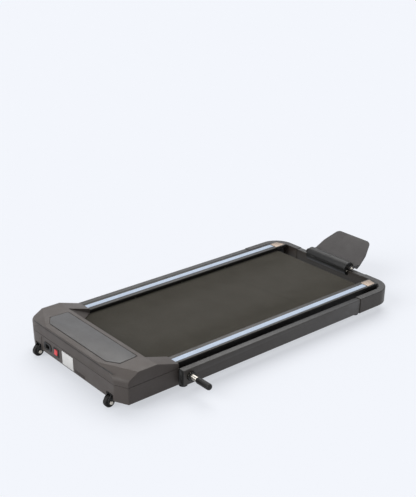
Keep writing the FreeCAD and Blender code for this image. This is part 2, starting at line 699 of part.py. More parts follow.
def coverForm(name, inset, bottom):
    """The cover's outer or inner form: its plan, its side view and the two sloping corners."""
    plan = prism(f"{name}Plan", "XY_Plane", bottom, hoodTop - bottom, coverPlan(inset))
    view = prism(f"{name}View", "YZ_Plane", -hoodHalf, 2 * hoodHalf, [
        (faceY + inset, bottom), (faceY + inset, hoodTop - dim.noseDrop - inset),
        (faceY + dim.noseRun + inset, hoodTop - inset), (hoodRear, hoodTop - inset),
        (railStart, wingEndHeight - inset), (railStart, bottom),
    ])
    form = boolean("Common", f"{name}Block", plan, view)
    for side, sign in sides.items():
        wedge = prism(f"{name}Wedge{side}", "XY_Plane", 0, hoodHalf, [
            (dim.cornerRun, cornerHeight - dim.cornerRise - inset),
            (dim.cornerRun, cornerHeight + 2 * dim.cornerRise),
            (-2 * dim.cornerRun, cornerHeight + 2 * dim.cornerRise - inset),
        ])
        wedge.Symmetric = True
        heading = math.degrees(math.atan2(-dim.cornerWidth.number, sign * dim.cornerDepth.number))
        upright = FreeCAD.Rotation(FreeCAD.Vector(1, 0, 0), 90)
        turn = FreeCAD.Rotation(FreeCAD.Vector(0, 0, 1), heading)
        wedge.Placement.Rotation = turn.multiply(upright)
        bind(wedge, "Placement.Base.x", sign * (hoodHalf - dim.cornerWidth / 2))
        bind(wedge, "Placement.Base.y", faceY + dim.cornerDepth / 2)
        form = boolean("Cut", f"{name}Corner{side}", form, wedge)
    return form


bossPlaces = [(sign * x, y) for sign in sides.values() for x, y in (
    (hoodHalf - dim.bossFrontInset, faceY + dim.bossFrontMargin),
    (hoodHalf - dim.bossSideInset, faceY + dim.bossSideMargin),
)]


def bosses(name, radius, bottom, top):
    return fused(name, [rod(f"{name}{number}", radius, top - bottom, (x, y, bottom))
                        for number, (x, y) in enumerate(bossPlaces)])


def panelLoop(grow):
    return mirroredLoop([
        (panelHalf - dim.panelCutWidth + grow, panelFront - grow),
        (panelHalf + grow, panelFront + dim.panelCutDepth),
        (panelHalf - dim.panelTaper + grow, hoodRear - dim.panelRearMargin + grow),
    ])


coverOuter = coverForm("coverOuter", asSize(0), hoodSplit)
coverInner = coverForm("coverInner", dim.hoodWall, hoodSplit - 1)
coverShell = boolean("Cut", "coverShell", coverOuter, coverInner)
coverBosses = boolean("Common", "coverBossesIn", coverOuter,
                      bosses("coverBosses", dim.bossRadius, hoodSplit, hoodTop))
coverSolid = fused("coverSolid", [coverShell, coverBosses])
coverBored = boolean("Cut", "coverBored", coverSolid,
                     bosses("coverBores", dim.hoodScrewRadius, hoodSplit, hoodScrewTop))
panelBed = prism("panelBed", "XY_Plane", hoodTop + dim.panelProud - dim.panelThick, dim.panelThick,
                 panelLoop(dim.panelGap))
keep(boolean("Cut", "hood_cover", coverBored, panelBed))

panel = startBody("hood_panel")
pad(panel, "XY_Plane", hoodTop + dim.panelProud - dim.panelThick, dim.panelThick, panelLoop(asSize(0)))
keep(panel)

trayBlock = prism("trayBlock", "XY_Plane", dim.hoodBottom, hoodSplit - dim.hoodBottom,
                  trayPlan(asSize(0), railStart))
trayHollow = prism("trayHollow", "XY_Plane", dim.hoodBottom + dim.hoodWall, hoodSplit - dim.hoodBottom,
                   trayPlan(dim.hoodWall, railStart + 1))
trayOpen = prism("trayOpen", "XY_Plane", dim.hoodBottom - 1, dim.hoodWall + 2,
                 box(dim.hoodWall - hoodHalf, hoodHalf - dim.hoodWall, faceY + dim.trayLength, railStart + 1))
trayShell = boolean("Cut", "trayShell", trayBlock, fused("trayCuts", [trayHollow, trayOpen]))
trayBosses = boolean("Common", "trayBossesIn", trayBlock,
                     bosses("trayBosses", dim.bossRadius, dim.hoodBottom, hoodSplit))
trayBores = bosses("trayBores", dim.hoodScrewRadius, dim.hoodBottom, hoodSplit)
trayHeads = bosses("trayHeads", dim.hoodScrewHead, dim.hoodBottom, dim.hoodBottom + dim.hoodWall)
wellHalf = dim.wheelWidth / 2 + dim.cheekGap + dim.cheekThick + dim.wellPlay
wellHeight = bracketTop + dim.cheekThick - dim.hoodBottom
wheelWells = [prism(f"wheelWell{side}", "XY_Plane", dim.hoodBottom, wellHeight,
                    box(sign * wheelX - wellHalf, sign * wheelX + wellHalf, faceY, plateFront))
              for side, sign in sides.items()]


def frontCut(name, start, depth, centreX, centreZ, width, height):
    """A rectangular cut into the front wall, from start towards the inside."""
    return prism(name, "XY_Plane", centreZ - height / 2, height,
                 box(centreX - width / 2, centreX + width / 2, start, start + depth))


recessLeft = dim.inletWidth / 2 + dim.recessMargin - dim.inletX
recessRight = -dim.switchX - dim.bezelWidth / 2 - dim.recessNearMargin
inletZ = dim.hoodBottom + dim.inletRise
switchZ = dim.hoodBottom + dim.switchRise
frontCuts = [
    frontCut("recess", faceY, dim.recessDepth, -(recessLeft + recessRight) / 2,
             dim.hoodBottom + dim.recessHeight / 2, recessLeft - recessRight, dim.recessHeight),
    frontCut("inletHole", faceY, dim.hoodWall, dim.inletX, inletZ, dim.inletBodyWidth, dim.inletBodyHeight),
    frontCut("switchHole", faceY, dim.hoodWall, dim.switchX, switchZ, dim.switchWidth, dim.switchHeight),
]
traySolid = fused("traySolid", [trayShell, trayBosses])
keep(boolean("Cut", "hood_base", traySolid,
             fused("trayDetail", [trayBores, trayHeads, *wheelWells, *frontCuts])))

hoodScrews = []
headTop = dim.hoodBottom + dim.hoodWall
for number, (x, y) in enumerate(bossPlaces):
    head = rod(f"hood_head_{number}", dim.hoodScrewHead, dim.hoodWall, (x, y, dim.hoodBottom))
    shank = rod(f"hood_shank_{number}", dim.hoodScrewRadius, hoodScrewTop - headTop, (x, y, headTop))
    hoodScrews.append(fused(f"hood_screw_{number}", [head, shank]))
keep(group("hood_screws", hoodScrews))

# ---------------------------------------------------------------- inlet, switch and label


def frontBox(centreX, centreZ, width, height):
    return box(centreX - width / 2, centreX + width / 2, centreZ - height / 2, centreZ + height / 2)


inletFront = recessFloor - dim.inletFlange
inlet = startBody("power_inlet")
pad(inlet, "XZ_Plane", inletFront, dim.inletFlange,
    frontBox(dim.inletX, inletZ, dim.inletWidth, dim.inletHeight))
pad(inlet, "XZ_Plane", recessFloor, dim.inletBodyDepth,
    frontBox(dim.inletX, inletZ, dim.inletBodyWidth, dim.inletBodyHeight))
pocket(inlet, "XZ_Plane", inletFront, dim.socketDepth,
       frontBox(dim.inletX, inletZ, dim.socketWidth, dim.socketHeight))
pad(inlet, "XZ_Plane", inletFront + dim.socketDepth - dim.pinLength, dim.pinLength,
    *[frontBox(dim.inletX + step * dim.pinPitch, inletZ + rise, dim.pinWidth, dim.pinHeight)
      for step, rise in ((-1, -dim.earthRise / 2), (0, dim.earthRise / 2), (1, -dim.earthRise / 2))])
keep(inlet)

switchFront = recessFloor - dim.bezelThick
pivotDepth = switchFront + dim.rockerSink
housing = startBody("switch_housing")
pad(housing, "XZ_Plane", switchFront, dim.bezelThick,
    frontBox(dim.switchX, switchZ, dim.bezelWidth, dim.bezelHeight))
pad(housing, "XZ_Plane", recessFloor, dim.switchDepth,
    frontBox(dim.switchX, switchZ, dim.switchWidth, dim.switchHeight))
pocket(housing, "XZ_Plane", switchFront, dim.switchCavityDepth,
       frontBox(dim.switchX, switchZ, dim.rockerWidth + 2 * dim.rockerGap, dim.switchCavityHeight))
pinHalf = dim.rockerWidth / 2 + dim.rockerPinLength
pocket(housing, "YZ_Plane", dim.switchX - pinHalf - dim.rockerGap, 2 * (pinHalf + dim.rockerGap),
       circle(pivotDepth, switchZ, dim.rockerPinRadius + dim.runGap))
keep(housing)

rocker = startBody("switch_rocker")
pad(rocker, "YZ_Plane", -dim.rockerWidth / 2, dim.rockerWidth, [
    (-dim.rockerFront, -dim.rockerHalf), (dim.rockerBack, -dim.rockerBackHalf),
    (dim.rockerBack, dim.rockerBackHalf), (-dim.rockerFront, dim.rockerHalf), (-dim.rockerWaist, 0),
])
pad(rocker, "YZ_Plane", -pinHalf, 2 * pinHalf, circle(0, 0, dim.rockerPinRadius))
keep(rocker, (dim.switchX, pivotDepth, switchZ), (1, 0, 0), -dim.rockerLean)

labelBottom = dim.hoodBottom + dim.labelRise
label = startBody("rating_label")
pad(label, "XZ_Plane", faceY - dim.labelThick, dim.labelThick,
    box(-dim.labelLeft, dim.labelRight, labelBottom, labelBottom + dim.labelHeight))
keep(label)

# ---------------------------------------------------------------- transport wheels and feet

cheekInner = dim.wheelWidth / 2 + dim.cheekGap
cheekOuter = cheekInner + dim.cheekThick
wheelCentre = (wheelY, dim.wheelRadius)
bracketBack = plateFront
cheekBack = frameBottom - dim.plateThick
wheelBolts = []
for side, sign in sides.items():
    keep(turned(f"wheel_{side}", [
        (-dim.wheelWidth / 2, dim.wheelBoltRadius + dim.runGap),
        (dim.wheelWidth / 2, dim.wheelBoltRadius + dim.runGap),
        (dim.wheelWidth / 2, dim.wheelRadius - dim.wheelRound),
        (dim.wheelWidth / 2 - dim.wheelRound, dim.wheelRadius),
        (dim.wheelRound - dim.wheelWidth / 2, dim.wheelRadius),
        (-dim.wheelWidth / 2, dim.wheelRadius - dim.wheelRound),
    ]), (sign * wheelX, *wheelCentre))

    bracket = startBody(f"wheel_bracket_{side}")
    cheek = [
        (bracketBack, bracketTop), (bracketBack, cheekBack),
        (wheelY + dim.boltHead, dim.wheelRadius - dim.cheekDrop),
        (wheelY - dim.boltHead, dim.wheelRadius - dim.cheekDrop),
        (wheelY - dim.cheekFront, dim.wheelRadius),
        (wheelY - dim.cheekFront, dim.wheelRadius + dim.cheekFront), (faceY, bracketTop),
    ]
    channelTop = bracketTop - dim.cheekThick
    channel = [(faceY, channelTop), (bracketBack - dim.cheekThick, channelTop),
               (bracketBack - dim.cheekThick, cheekBack), (bracketBack, cheekBack),
               (bracketBack, bracketTop), (faceY, bracketTop)]
    pad(bracket, "YZ_Plane", sign * wheelX - cheekInner, 2 * cheekInner, channel)
    for start in (sign * wheelX - cheekOuter, sign * wheelX + cheekInner):
        pad(bracket, "YZ_Plane", start, dim.cheekThick, cheek)
    pocket(bracket, "YZ_Plane", sign * wheelX - cheekOuter, 2 * cheekOuter,
           circle(*wheelCentre, dim.wheelBoltRadius))
    keep(bracket)

    bolt = hexBolt(f"wheel_bolt_{side}", dim.boltHead, dim.boltHeadThick, dim.wheelBoltRadius, 2 * cheekOuter)
    stand(bolt, (sign * wheelX + cheekOuter, *wheelCentre), (0, 0, 1), 180)
    wheelBolts.append(bolt)
keep(group("wheel_bolts", wheelBolts))

footPlaces = [(sign * frameMid, y) for sign in sides.values()
              for y in (railStart + dim.footFrontMargin, dim.railEnd - dim.footRearMargin)]
feet = []
for number, (x, y) in enumerate(footPlaces):
    base = rod(f"foot_base_{number}", dim.footRadius, dim.footHeight, (x, y, 0))
    stem = rod(f"foot_stem_{number}", dim.footStem, frameBottom - dim.footHeight, (x, y, dim.footHeight))
    feet.append(fused(f"foot_{number}", [base, stem]))
keep(group("feet", feet))

# ---------------------------------------------------------------- handrail

tubeFront = pivotY - dim.pivotLead

bossRings = []
for side, sign in sides.items():
    start, length = band(sign, railOuter, tubeInner - dim.softGap)
    boss = ring(f"pivot_boss_{side}", start, length, dim.pivotRadius + dim.runGap, dim.pivotBossRadius)
    stand(boss, (0, *pivot))
    bossRings.append(boss)
keep(group("pivot_bosses", bossRings))

bolt = hexBolt("pivot_bolt_left", dim.pivotHeadRadius, dim.pivotHeadThick, dim.pivotRadius,
               tubeOuter + dim.softGap - pivotReach)
keep(bolt, (-tubeOuter - dim.softGap, *pivot))

tubeCaps = []
for side, sign in sides.items():
    tube = startBody(f"upright_tube_{side}")
    length = elbowStart + dim.tubeInsert - tubeFront
    pad(tube, "XZ_Plane", tubeFront, length,
        box(sign * tubeInner, sign * tubeOuter, dim.tubeBottom, tubeTop))
    roundEdges(tube, dim.tubeRound, lambda a, b: abs(a.x - b.x) < 0.01 and abs(a.z - b.z) < 0.01)
    pocket(tube, "XZ_Plane", tubeFront, length,
           box(sign * (tubeInner + dim.tubeWall), sign * (tubeOuter - dim.tubeWall),
               dim.tubeBottom + dim.tubeWall, tubeTop - dim.tubeWall))
    pocket(tube, "YZ_Plane", *band(sign, tubeInner, tubeOuter),
           circle(*pivot, dim.pivotRadius + dim.pivotPlay))
    keep(tube)

    cap = startBody(f"tube_cap_{side}")
    pad(cap, "XZ_Plane", tubeFront - dim.capThick, dim.capThick,
        box(sign * tubeInner, sign * tubeOuter, dim.tubeBottom, tubeTop))
    roundEdges(cap, dim.tubeRound - 0.5, lambda a, b: abs(a.y - b.y) > 1
               or (near(a.y, tubeFront - dim.capThick) and near(b.y, tubeFront - dim.capThick)))
    pad(cap, "XZ_Plane", tubeFront, dim.plugDepth,
        box(sign * (tubeInner + dim.tubeWall), sign * (tubeOuter - dim.tubeWall),
            dim.tubeBottom + dim.tubeWall, tubeTop - dim.tubeWall))
    tubeCaps.append(cap)
keep(group("tube_end_caps", tubeCaps))

elbowReach = dim.tubeWidth / 2 + dim.elbowProud
elbowRise = dim.tubeHeight / 2 + dim.elbowProud
for side, sign in sides.items():
    elbow = startBody(f"elbow_{side}")
    path = elbow.newObject("Sketcher::SketchObject", f"elbowPath_{side}")
    plane = [item for item in elbow.Origin.OriginFeatures if item.Role == "XY_Plane"][0]
    path.AttachmentSupport = (plane, [""])
    path.MapMode = "FlatFace"
    bind(path, "AttachmentOffset.Base.z", tubeMidZ)
    cornerY, radius = crossbarMidY - dim.elbowRadius, dim.elbowRadius.number
    bendX = sign * (tubeMidX.number - radius)
    centre = FreeCAD.Vector(bendX, cornerY.number, 0)
    bendEnd = FreeCAD.Vector(bendX, crossbarMidY.number, 0)
    bendStart = FreeCAD.Vector(sign * tubeMidX.number, cornerY.number, 0)
    begin, finish = ((0, math.pi / 2) if sign > 0 else (math.pi / 2, math.pi))
    path.addGeometry(Part.LineSegment(FreeCAD.Vector(bendStart.x, elbowStart.number, 0), bendStart))
    path.addGeometry(Part.ArcOfCircle(Part.Circle(centre, FreeCAD.Vector(0, 0, 1), radius), begin, finish))
    path.addGeometry(Part.LineSegment(bendEnd, FreeCAD.Vector(sign * dim.sleeveEnd.number, bendEnd.y, 0)))
    nearEnd, farEnd = (1, 2) if sign > 0 else (2, 1)
    path.addConstraint(Sketcher.Constraint("Vertical", 0))
    path.addConstraint(Sketcher.Constraint("Horizontal", 2))
    path.addConstraint(Sketcher.Constraint("Tangent", 0, 2, 1, nearEnd))
    path.addConstraint(Sketcher.Constraint("Tangent", 1, farEnd, 2, 1))
    bend = path.addConstraint(Sketcher.Constraint("Radius", 1, radius))
    bind(path, f"Constraints[{bend}]", dim.elbowRadius)
    pin(path, 0, 1, sign * tubeMidX, elbowStart)
    pin(path, 2, 2, sign * dim.sleeveEnd, crossbarMidY)
    sleeve = [box(sign * tubeMidX - reach, sign * tubeMidX + reach, tubeMidZ - rise, tubeMidZ + rise)
              for reach, rise in ((elbowReach, elbowRise),
                                  (dim.tubeWidth / 2 + dim.elbowFit, dim.tubeHeight / 2 + dim.elbowFit))]
    section = sketchIn(elbow, "XZ_Plane", elbowStart, sleeve)
    sweep = elbow.newObject("PartDesign::AdditivePipe", f"elbowPipe_{side}")
    sweep.Profile = section
    sweep.Spine = path
    doc.recompute()
    roundEdges(elbow, dim.elbowRound, lambda a, b: near(abs(a.z - tubeMidZ.number), elbowRise)
               and near(a.z, b.z) and abs(a.x - b.x) + abs(a.y - b.y) > 100)
    keep(elbow)

crossbar = startBody("crossbar")
barHalf = dim.sleeveEnd + dim.tubeInsert
pad(crossbar, "YZ_Plane", -barHalf, 2 * barHalf,
    box(crossbarMidY - dim.tubeWidth / 2, crossbarRear, dim.tubeBottom, tubeTop))
roundEdges(crossbar, dim.tubeRound, lambda a, b: abs(a.x - b.x) > 1)
pocket(crossbar, "YZ_Plane", -barHalf, 2 * barHalf,
       box(crossbarMidY - dim.tubeWidth / 2 + dim.tubeWall, crossbarRear - dim.tubeWall,
           dim.tubeBottom + dim.tubeWall, tubeTop - dim.tubeWall))
keep(crossbar)

# ---------------------------------------------------------------- holder and tablet plate

lockPlace = (rollY - dim.lockForward, rollZ - dim.lockDrop)
roll = startBody("holder_body")
pad(roll, "YZ_Plane", -dim.rollHalf, 2 * dim.rollHalf, circle(rollY, rollZ, dim.rollRadius))
pocket(roll, "YZ_Plane", -dim.rollHalf, 2 * dim.rollHalf,
       box(crossbarMidY - dim.tubeWidth / 2, crossbarRear, rollZ - dim.rollRadius, tubeTop))
for sign in sides.values():
    pocket(roll, "YZ_Plane", *band(sign, dim.rollHalf - dim.tiltPinDepth, dim.rollHalf),
           circle(tiltY, tiltZ, dim.tiltPinRadius), circle(*lockPlace, dim.lockRadius))
keep(roll)

earEnd = dim.rollHalf + dim.earGap + dim.earThick
holderScrews = []
for side, sign in sides.items():
    tiltScrew = turned(f"tilt_screw_{side}", [
        (dim.rollHalf - dim.tiltPinDepth, 0), (dim.rollHalf - dim.tiltPinDepth, dim.tiltPinRadius),
        (earEnd + dim.softGap, dim.tiltPinRadius), (earEnd + dim.softGap, dim.tiltHeadRadius),
        (earEnd + dim.softGap + dim.tiltHeadThick, dim.tiltHeadRadius),
        (earEnd + dim.softGap + dim.tiltHeadThick, 0),
    ])
    stand(tiltScrew, (0, tiltY, tiltZ), (0, 0, 1), 0 if sign > 0 else 180)
    lockScrew = turned(f"lock_screw_{side}", [
        (dim.rollHalf - dim.tiltPinDepth, 0), (dim.rollHalf - dim.tiltPinDepth, dim.lockRadius),
        (dim.rollHalf, dim.lockRadius), (dim.rollHalf, dim.lockHead),
        (dim.rollHalf + dim.lockHeadThick, dim.lockHead), (dim.rollHalf + dim.lockHeadThick, 0),
    ])
    stand(lockScrew, (0, *lockPlace), (0, 0, 1), 0 if sign > 0 else 180)
    holderScrews += [tiltScrew, lockScrew]
keep(group("holder_screws", holderScrews))

plate = startBody("tablet_plate")
pad(plate, "XY_Plane", plateLow, dim.plateThickness, mirroredLoop([
    (earEnd, plateBase), (earEnd, dim.plateShoulder), (dim.plateBendHalf, dim.plateBend),
    (dim.plateTopHalf, dim.plateTop),
]))
roundEdges(plate, dim.plateRound, lambda a, b: abs(a.z - b.z) > 1 and near(a.y, dim.plateTop))
roundEdges(plate, dim.bendRound, lambda a, b: abs(a.z - b.z) > 1 and near(a.y, dim.plateBend))
for sign in sides.values():
    pad(plate, "YZ_Plane", *band(sign, dim.rollHalf + dim.earGap, earEnd), [
        (-dim.earRadius, -dim.earRadius / 2), (-dim.earRadius, dim.earRadius / 2),
        (-dim.earRadius / 2, dim.earRadius), (dim.earRadius / 2, dim.earRadius),
        (dim.plateShoulder, -plateDrop), (dim.plateShoulder, plateLow), (plateBase, plateLow),
        (dim.earNotch, -dim.earNotchDrop), (-dim.earRadius / 2, -dim.earRadius),
    ])
    pocket(plate, "YZ_Plane", *band(sign, dim.rollHalf + dim.earGap, earEnd),
           circle(0, 0, dim.tiltPinRadius + dim.runGap))
keep(plate, (0, tiltY, tiltZ), (1, 0, 0), dim.tiltAngle)

# ---------------------------------------------------------------- clamp handle

collarStart = tubeOuter + dim.softGap
keep(turned("clamp_barrel", [
    (pivotReach, 0), (pivotReach, dim.pivotRadius), (collarStart, dim.pivotRadius),
    (collarStart, dim.collarRadius), (collarStart + dim.collarThick, dim.collarRadius),
    (collarStart + dim.collarThick, dim.barrelRadius), (barrelEnd, dim.barrelRadius), (barrelEnd, 0),
]), (0, *pivot))
grip = turned("clamp_grip", [
    (barrelEnd, 0), (barrelEnd, dim.gripRadius - dim.gripNeck),
    (barrelEnd + 3 * dim.gripNeck, dim.gripRadius), (gripEnd, dim.gripRadius), (gripEnd, 0),
])
roundEdges(grip, dim.gripRound, lambda a, b: near(a.x, gripEnd) and near(b.x, gripEnd))
keep(grip, (0, *pivot))

# ---------------------------------------------------------------- checks and export

doc.recompute()
for thing in doc.Objects:
    if {"Invalid", "Error"} & set(thing.State):
        raise RuntimeError(f"{thing.Name} did not build: {thing.State}")
for piece in finished:
    if piece.Shape.isNull() or not piece.Shape.isValid() or not piece.Shape.Solids:
        raise RuntimeError(f"{piece.Label} is not a valid solid")

os.makedirs("parts", exist_ok=True)
for piece in finished:
    piece.Shape.exportStep(f"parts/{piece.Label}.step")
print(f"{len(finished)} pieces written")
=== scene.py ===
import json
import math

import bmesh
import bpy
from mathutils import Matrix, Vector

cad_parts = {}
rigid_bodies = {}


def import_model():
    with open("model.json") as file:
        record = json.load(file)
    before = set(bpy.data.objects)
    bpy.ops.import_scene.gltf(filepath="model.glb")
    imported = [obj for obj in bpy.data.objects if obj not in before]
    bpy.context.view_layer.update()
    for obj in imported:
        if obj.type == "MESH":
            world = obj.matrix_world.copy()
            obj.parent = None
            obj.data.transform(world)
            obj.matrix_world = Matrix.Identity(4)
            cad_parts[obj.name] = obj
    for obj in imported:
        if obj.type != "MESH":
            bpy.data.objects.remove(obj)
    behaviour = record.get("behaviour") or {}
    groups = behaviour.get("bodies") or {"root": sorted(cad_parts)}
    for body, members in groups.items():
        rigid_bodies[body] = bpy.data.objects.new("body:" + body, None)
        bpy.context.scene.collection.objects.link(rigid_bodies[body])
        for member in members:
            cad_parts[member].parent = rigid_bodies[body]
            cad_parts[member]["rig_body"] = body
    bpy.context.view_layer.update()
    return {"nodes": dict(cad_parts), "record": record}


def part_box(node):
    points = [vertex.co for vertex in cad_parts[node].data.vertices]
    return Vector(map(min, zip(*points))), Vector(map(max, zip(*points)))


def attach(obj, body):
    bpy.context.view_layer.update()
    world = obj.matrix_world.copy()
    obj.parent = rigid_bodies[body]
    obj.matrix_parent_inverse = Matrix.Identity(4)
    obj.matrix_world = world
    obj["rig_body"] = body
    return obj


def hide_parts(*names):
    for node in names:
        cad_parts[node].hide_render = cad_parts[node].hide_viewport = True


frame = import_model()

nodes = frame["nodes"]
slotOf = {row["node"]: row["material_slot"] for row in frame["record"]["subparts"]}
bpy.ops.object.select_all(action="DESELECT")

coverLow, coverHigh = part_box("hood_cover")
baseLow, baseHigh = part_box("hood_base")
middleX = (coverLow.x + coverHigh.x) / 2  # the deck's mid-plane
hoodFace = coverLow.y
sides = {"right": 1, "left": -1}


class Wire:
    def __init__(self, tree, socket=None):
        self.tree = tree
        self.socket = socket

    def node(self, kind, settings, inputs, output=0):
        made = self.tree.nodes.new("ShaderNode" + kind)
        for name, value in settings.items():
            setattr(made, name, value)
        for name, value in inputs.items():
            if isinstance(value, Wire):
                self.tree.links.new(value.socket, made.inputs[name])
            else:
                made.inputs[name].default_value = value
        return Wire(self.tree, made.outputs[output])

    def maths(self, operation, first, second=0.0):
        return self.node("Math", {"operation": operation}, {0: first, 1: second})

    def __add__(self, other):
        return self.maths("ADD", self, other)

    def __radd__(self, other):
        return self.maths("ADD", other, self)

    def __sub__(self, other):
        return self.maths("SUBTRACT", self, other)

    def __rsub__(self, other):
        return self.maths("SUBTRACT", other, self)

    def __mul__(self, other):
        return self.maths("MULTIPLY", self, other)

    def __rmul__(self, other):
        return self.maths("MULTIPLY", other, self)

    def __gt__(self, other):
        return self.maths("GREATER_THAN", self, other)

    def __lt__(self, other):
        return self.maths("LESS_THAN", self, other)

    def blend(self, first, second):
        return self.node("Mix", {"data_type": "RGBA"}, {0: self, 6: first, 7: second}, 2)

    def noise(self, size, detail=3.0):
        return self.node("TexNoise", {}, {"Vector": self, "Scale": 1 / size, "Detail": detail})

    def stretched(self, x, y, z):
        return self.node("Mapping", {}, {"Vector": self, "Scale": (x, y, z)})

    def along(self, axis):
        return self.node("SeparateXYZ", {}, {"Vector": self}, "XYZ".index(axis))

    def ramp(self, low, high):
        return self.node("MapRange", {"clamp": True}, {"Value": self, "From Min": low, "From Max": high})

    def bumped(self, height, strength=1.0):
        return self.node("Bump", {}, {"Height": self, "Distance": height, "Strength": strength})


def tone(red, green, blue, gain=1.0):
    channels = [value / 255 for value in (red, green, blue)]
    linear = [c / 12.92 if c <= 0.04045 else ((c + 0.055) / 1.055) ** 2.4 for c in channels]
    return (*[gain * c for c in linear], 1.0)


# a new material with its uniform values set on the shader
def startFinish(name, plain):
    material = bpy.data.materials.new(name)
    material.use_nodes = True
    shader = material.node_tree.nodes["Principled BSDF"]
    for socket, value in plain.items():
        shader.inputs[socket].default_value = value
    tree = material.node_tree
    place = Wire(tree).node("TexCoord", {}, {}, "Object")
    return material, shader, place


def feed(shader, **wires):
    names = {"colour": "Base Color", "rough": "Roughness", "normal": "Normal", "metal": "Metallic",
             "glow": "Emission Color"}
    for word, wire in wires.items():
        wire.tree.links.new(wire.socket, shader.inputs[names[word]])


# plastic or paint: slow drift of tone, a fine grain, and rougher rubbed patches; optionally painted shade
# turning the rail sides near black below their top, and painted shade darkening the top faces above the tube
# tops
def moulded(name, look):
    material, shader, place = startFinish(name, {
        "IOR": 1.46, "Specular IOR Level": look["shine"], "Coat Weight": look.get("coat", 0.0),
        "Coat Roughness": 0.3})
    drift = place.noise(0.12, 2.0).ramp(0.35, 0.65)
    grain = place.noise(look["grain"], 2.0)
    speck = place.noise(look["grain"] * 3, 4.0)
    base = drift.blend(tone(*look["dark"]), tone(*look["light"]))
    colour = speck.ramp(0.3, 0.75).blend(base, tone(*look["light"], look.get("fleck", 1.15)))
    rubbed = place.noise(0.045, 5.0).ramp(0.4, 0.7)
    # painted shade: the rail sides below their top edge fade to near black, standing for the dark gap beside
    # the rails
    if "deep" in look:
        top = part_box("side_rail_right")[1].z
        aboveSideShade = place.along("Z").ramp(top - look["deep"], top - 0.2 * look["deep"])
        colour = aboveSideShade.blend(tone(9, 8, 8), colour)
    # painted shade: the top faces above the tube tops get a darkened copy of the base tone
    if "crown" in look:
        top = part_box("upright_tube_right")[1].z
        colour = (place.along("Z") > top - 0.0008).blend(colour, tone(*look["dark"], look["crown"]))
    feed(shader, colour=colour, rough=look["rough"] + 0.1 * rubbed - 0.06 * drift,
         normal=(grain + 0.5 * speck).bumped(look["depth"]))
    return material


# bare metal with fine lines across one axis
def brushed(name, look):
    material, shader, place = startFinish(name, {"Metallic": 1.0, "Specular IOR Level": 0.5})
    scratch = place.stretched(*look["lines"]).noise(look["grain"], 4.0)
    cloud = place.noise(0.03, 3.0).ramp(0.3, 0.7)
    colour = (0.6 * scratch + 0.4 * cloud).blend(tone(*look["dark"]), tone(*look["light"]))
    feed(shader, colour=colour, rough=look["rough"] + 0.18 * scratch, normal=scratch.bumped(look["depth"]))
    return material


# fine cross-hatched running surface, with a faint worn track and a slanted joint
def beltRubber(name):
    look = {"weave": 0.0024, "track": 0.17, "trackSoft": 0.1, "joint": 0.004, "jointAt": 0.18, "slant": 0.12}
    material, shader, place = startFinish(name, {"Specular IOR Level": 0.18})
    across = place.along("X") - middleX
    along = place.along("Y")
    turns = 2 * math.pi / look["weave"]
    hatch = place.maths("SINE", (across + along) * turns) * place.maths("SINE", (across - along) * turns)
    grit = place.noise(0.0016, 3.0)
    patches = place.noise(0.09, 4.0).ramp(0.35, 0.7)
    track = 1 - place.maths("ABSOLUTE", across).ramp(look["track"] - look["trackSoft"], look["track"])
    joint = place.maths("ABSOLUTE", along - look["slant"] * across - look["jointAt"]) < look["joint"] / 2
    base = patches.blend(tone(60, 57, 50), tone(66, 63, 56))
    endShade = (0.25 * track).blend(base, tone(74, 71, 64))
    flecked = (0.4 * grit.ramp(0.5, 0.8)).blend(endShade, tone(88, 86, 78))
    feed(shader, colour=(0.25 * joint).blend(flecked, tone(40, 39, 34)),
         rough=0.82 - 0.1 * track + 0.08 * grit, normal=(hatch * 0.5 + grit).bumped(0.00035))
    return material


# pale foot strip with fine lengthwise ribs, painted shade darkening the grooves between them, and faint
# patchy grime
def stripeRubber(name):
    look = {"rib": 0.0023, "dash": 0.014}
    material, shader, place = startFinish(name, {"Specular IOR Level": 0.35})
    ribs = place.maths("SINE", place.along("X") * (2 * math.pi / look["rib"])).ramp(-0.9, 0.3)
    grime = place.stretched(8, 1, 8).noise(0.06, 4.0).ramp(0.35, 0.75)
    dashes = place.maths("SINE", place.along("Y") * (2 * math.pi / look["dash"])).ramp(0.6, 0.9)
    clean = grime.blend(tone(200, 215, 234), tone(212, 228, 248))
    # painted shade: the grooves between the ribs are a darker copy of the blue
    grooveShaded = (0.35 * (1 - ribs)).blend(clean, tone(150, 166, 190))
    feed(shader, colour=(0.08 * dashes).blend(grooveShaded, tone(235, 240, 248)), rough=0.5 + 0.15 * grime,
         normal=(ribs + 0.15 * dashes).bumped(0.0004))
    return material


# pressed board: brown fibre core under a black sliding face
def deckBoard(name):
    material, shader, place = startFinish(name, {"Specular IOR Level": 0.3})
    fibre = place.stretched(1, 1, 6).noise(0.004, 6.0)
    top = place.along("Z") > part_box("deck_board")[1].z - 0.0012
    core = fibre.blend(tone(104, 78, 52), tone(150, 118, 84))
    feed(shader, colour=top.blend(core, tone(34, 31, 29)), rough=0.75 - 0.3 * top,
         normal=fibre.bumped(0.0003))
    return material


# green lacquer with a regular grid of pale copper tracks and pads
def circuitBoard(name):
    look = {"pitch": 0.005}
    material, shader, place = startFinish(name, {"Coat Weight": 0.4, "Coat Roughness": 0.15})
    turns = 2 * math.pi / look["pitch"]
    tracks = place.maths("SINE", place.along("X") * turns) > 0.82
    pads = (place.maths("SINE", place.along("Y") * turns) > 0.7) * tracks
    lacquer = place.noise(0.02, 3.0).blend(tone(16, 68, 42), tone(24, 92, 58))
    traced = (0.5 * tracks).blend(lacquer, tone(62, 130, 80))
    feed(shader, colour=pads.blend(traced, tone(186, 190, 180)), rough=0.35 + 0.15 * place.noise(0.004),
         metal=0.8 * pads, normal=(tracks + pads).bumped(0.00015))
    return material


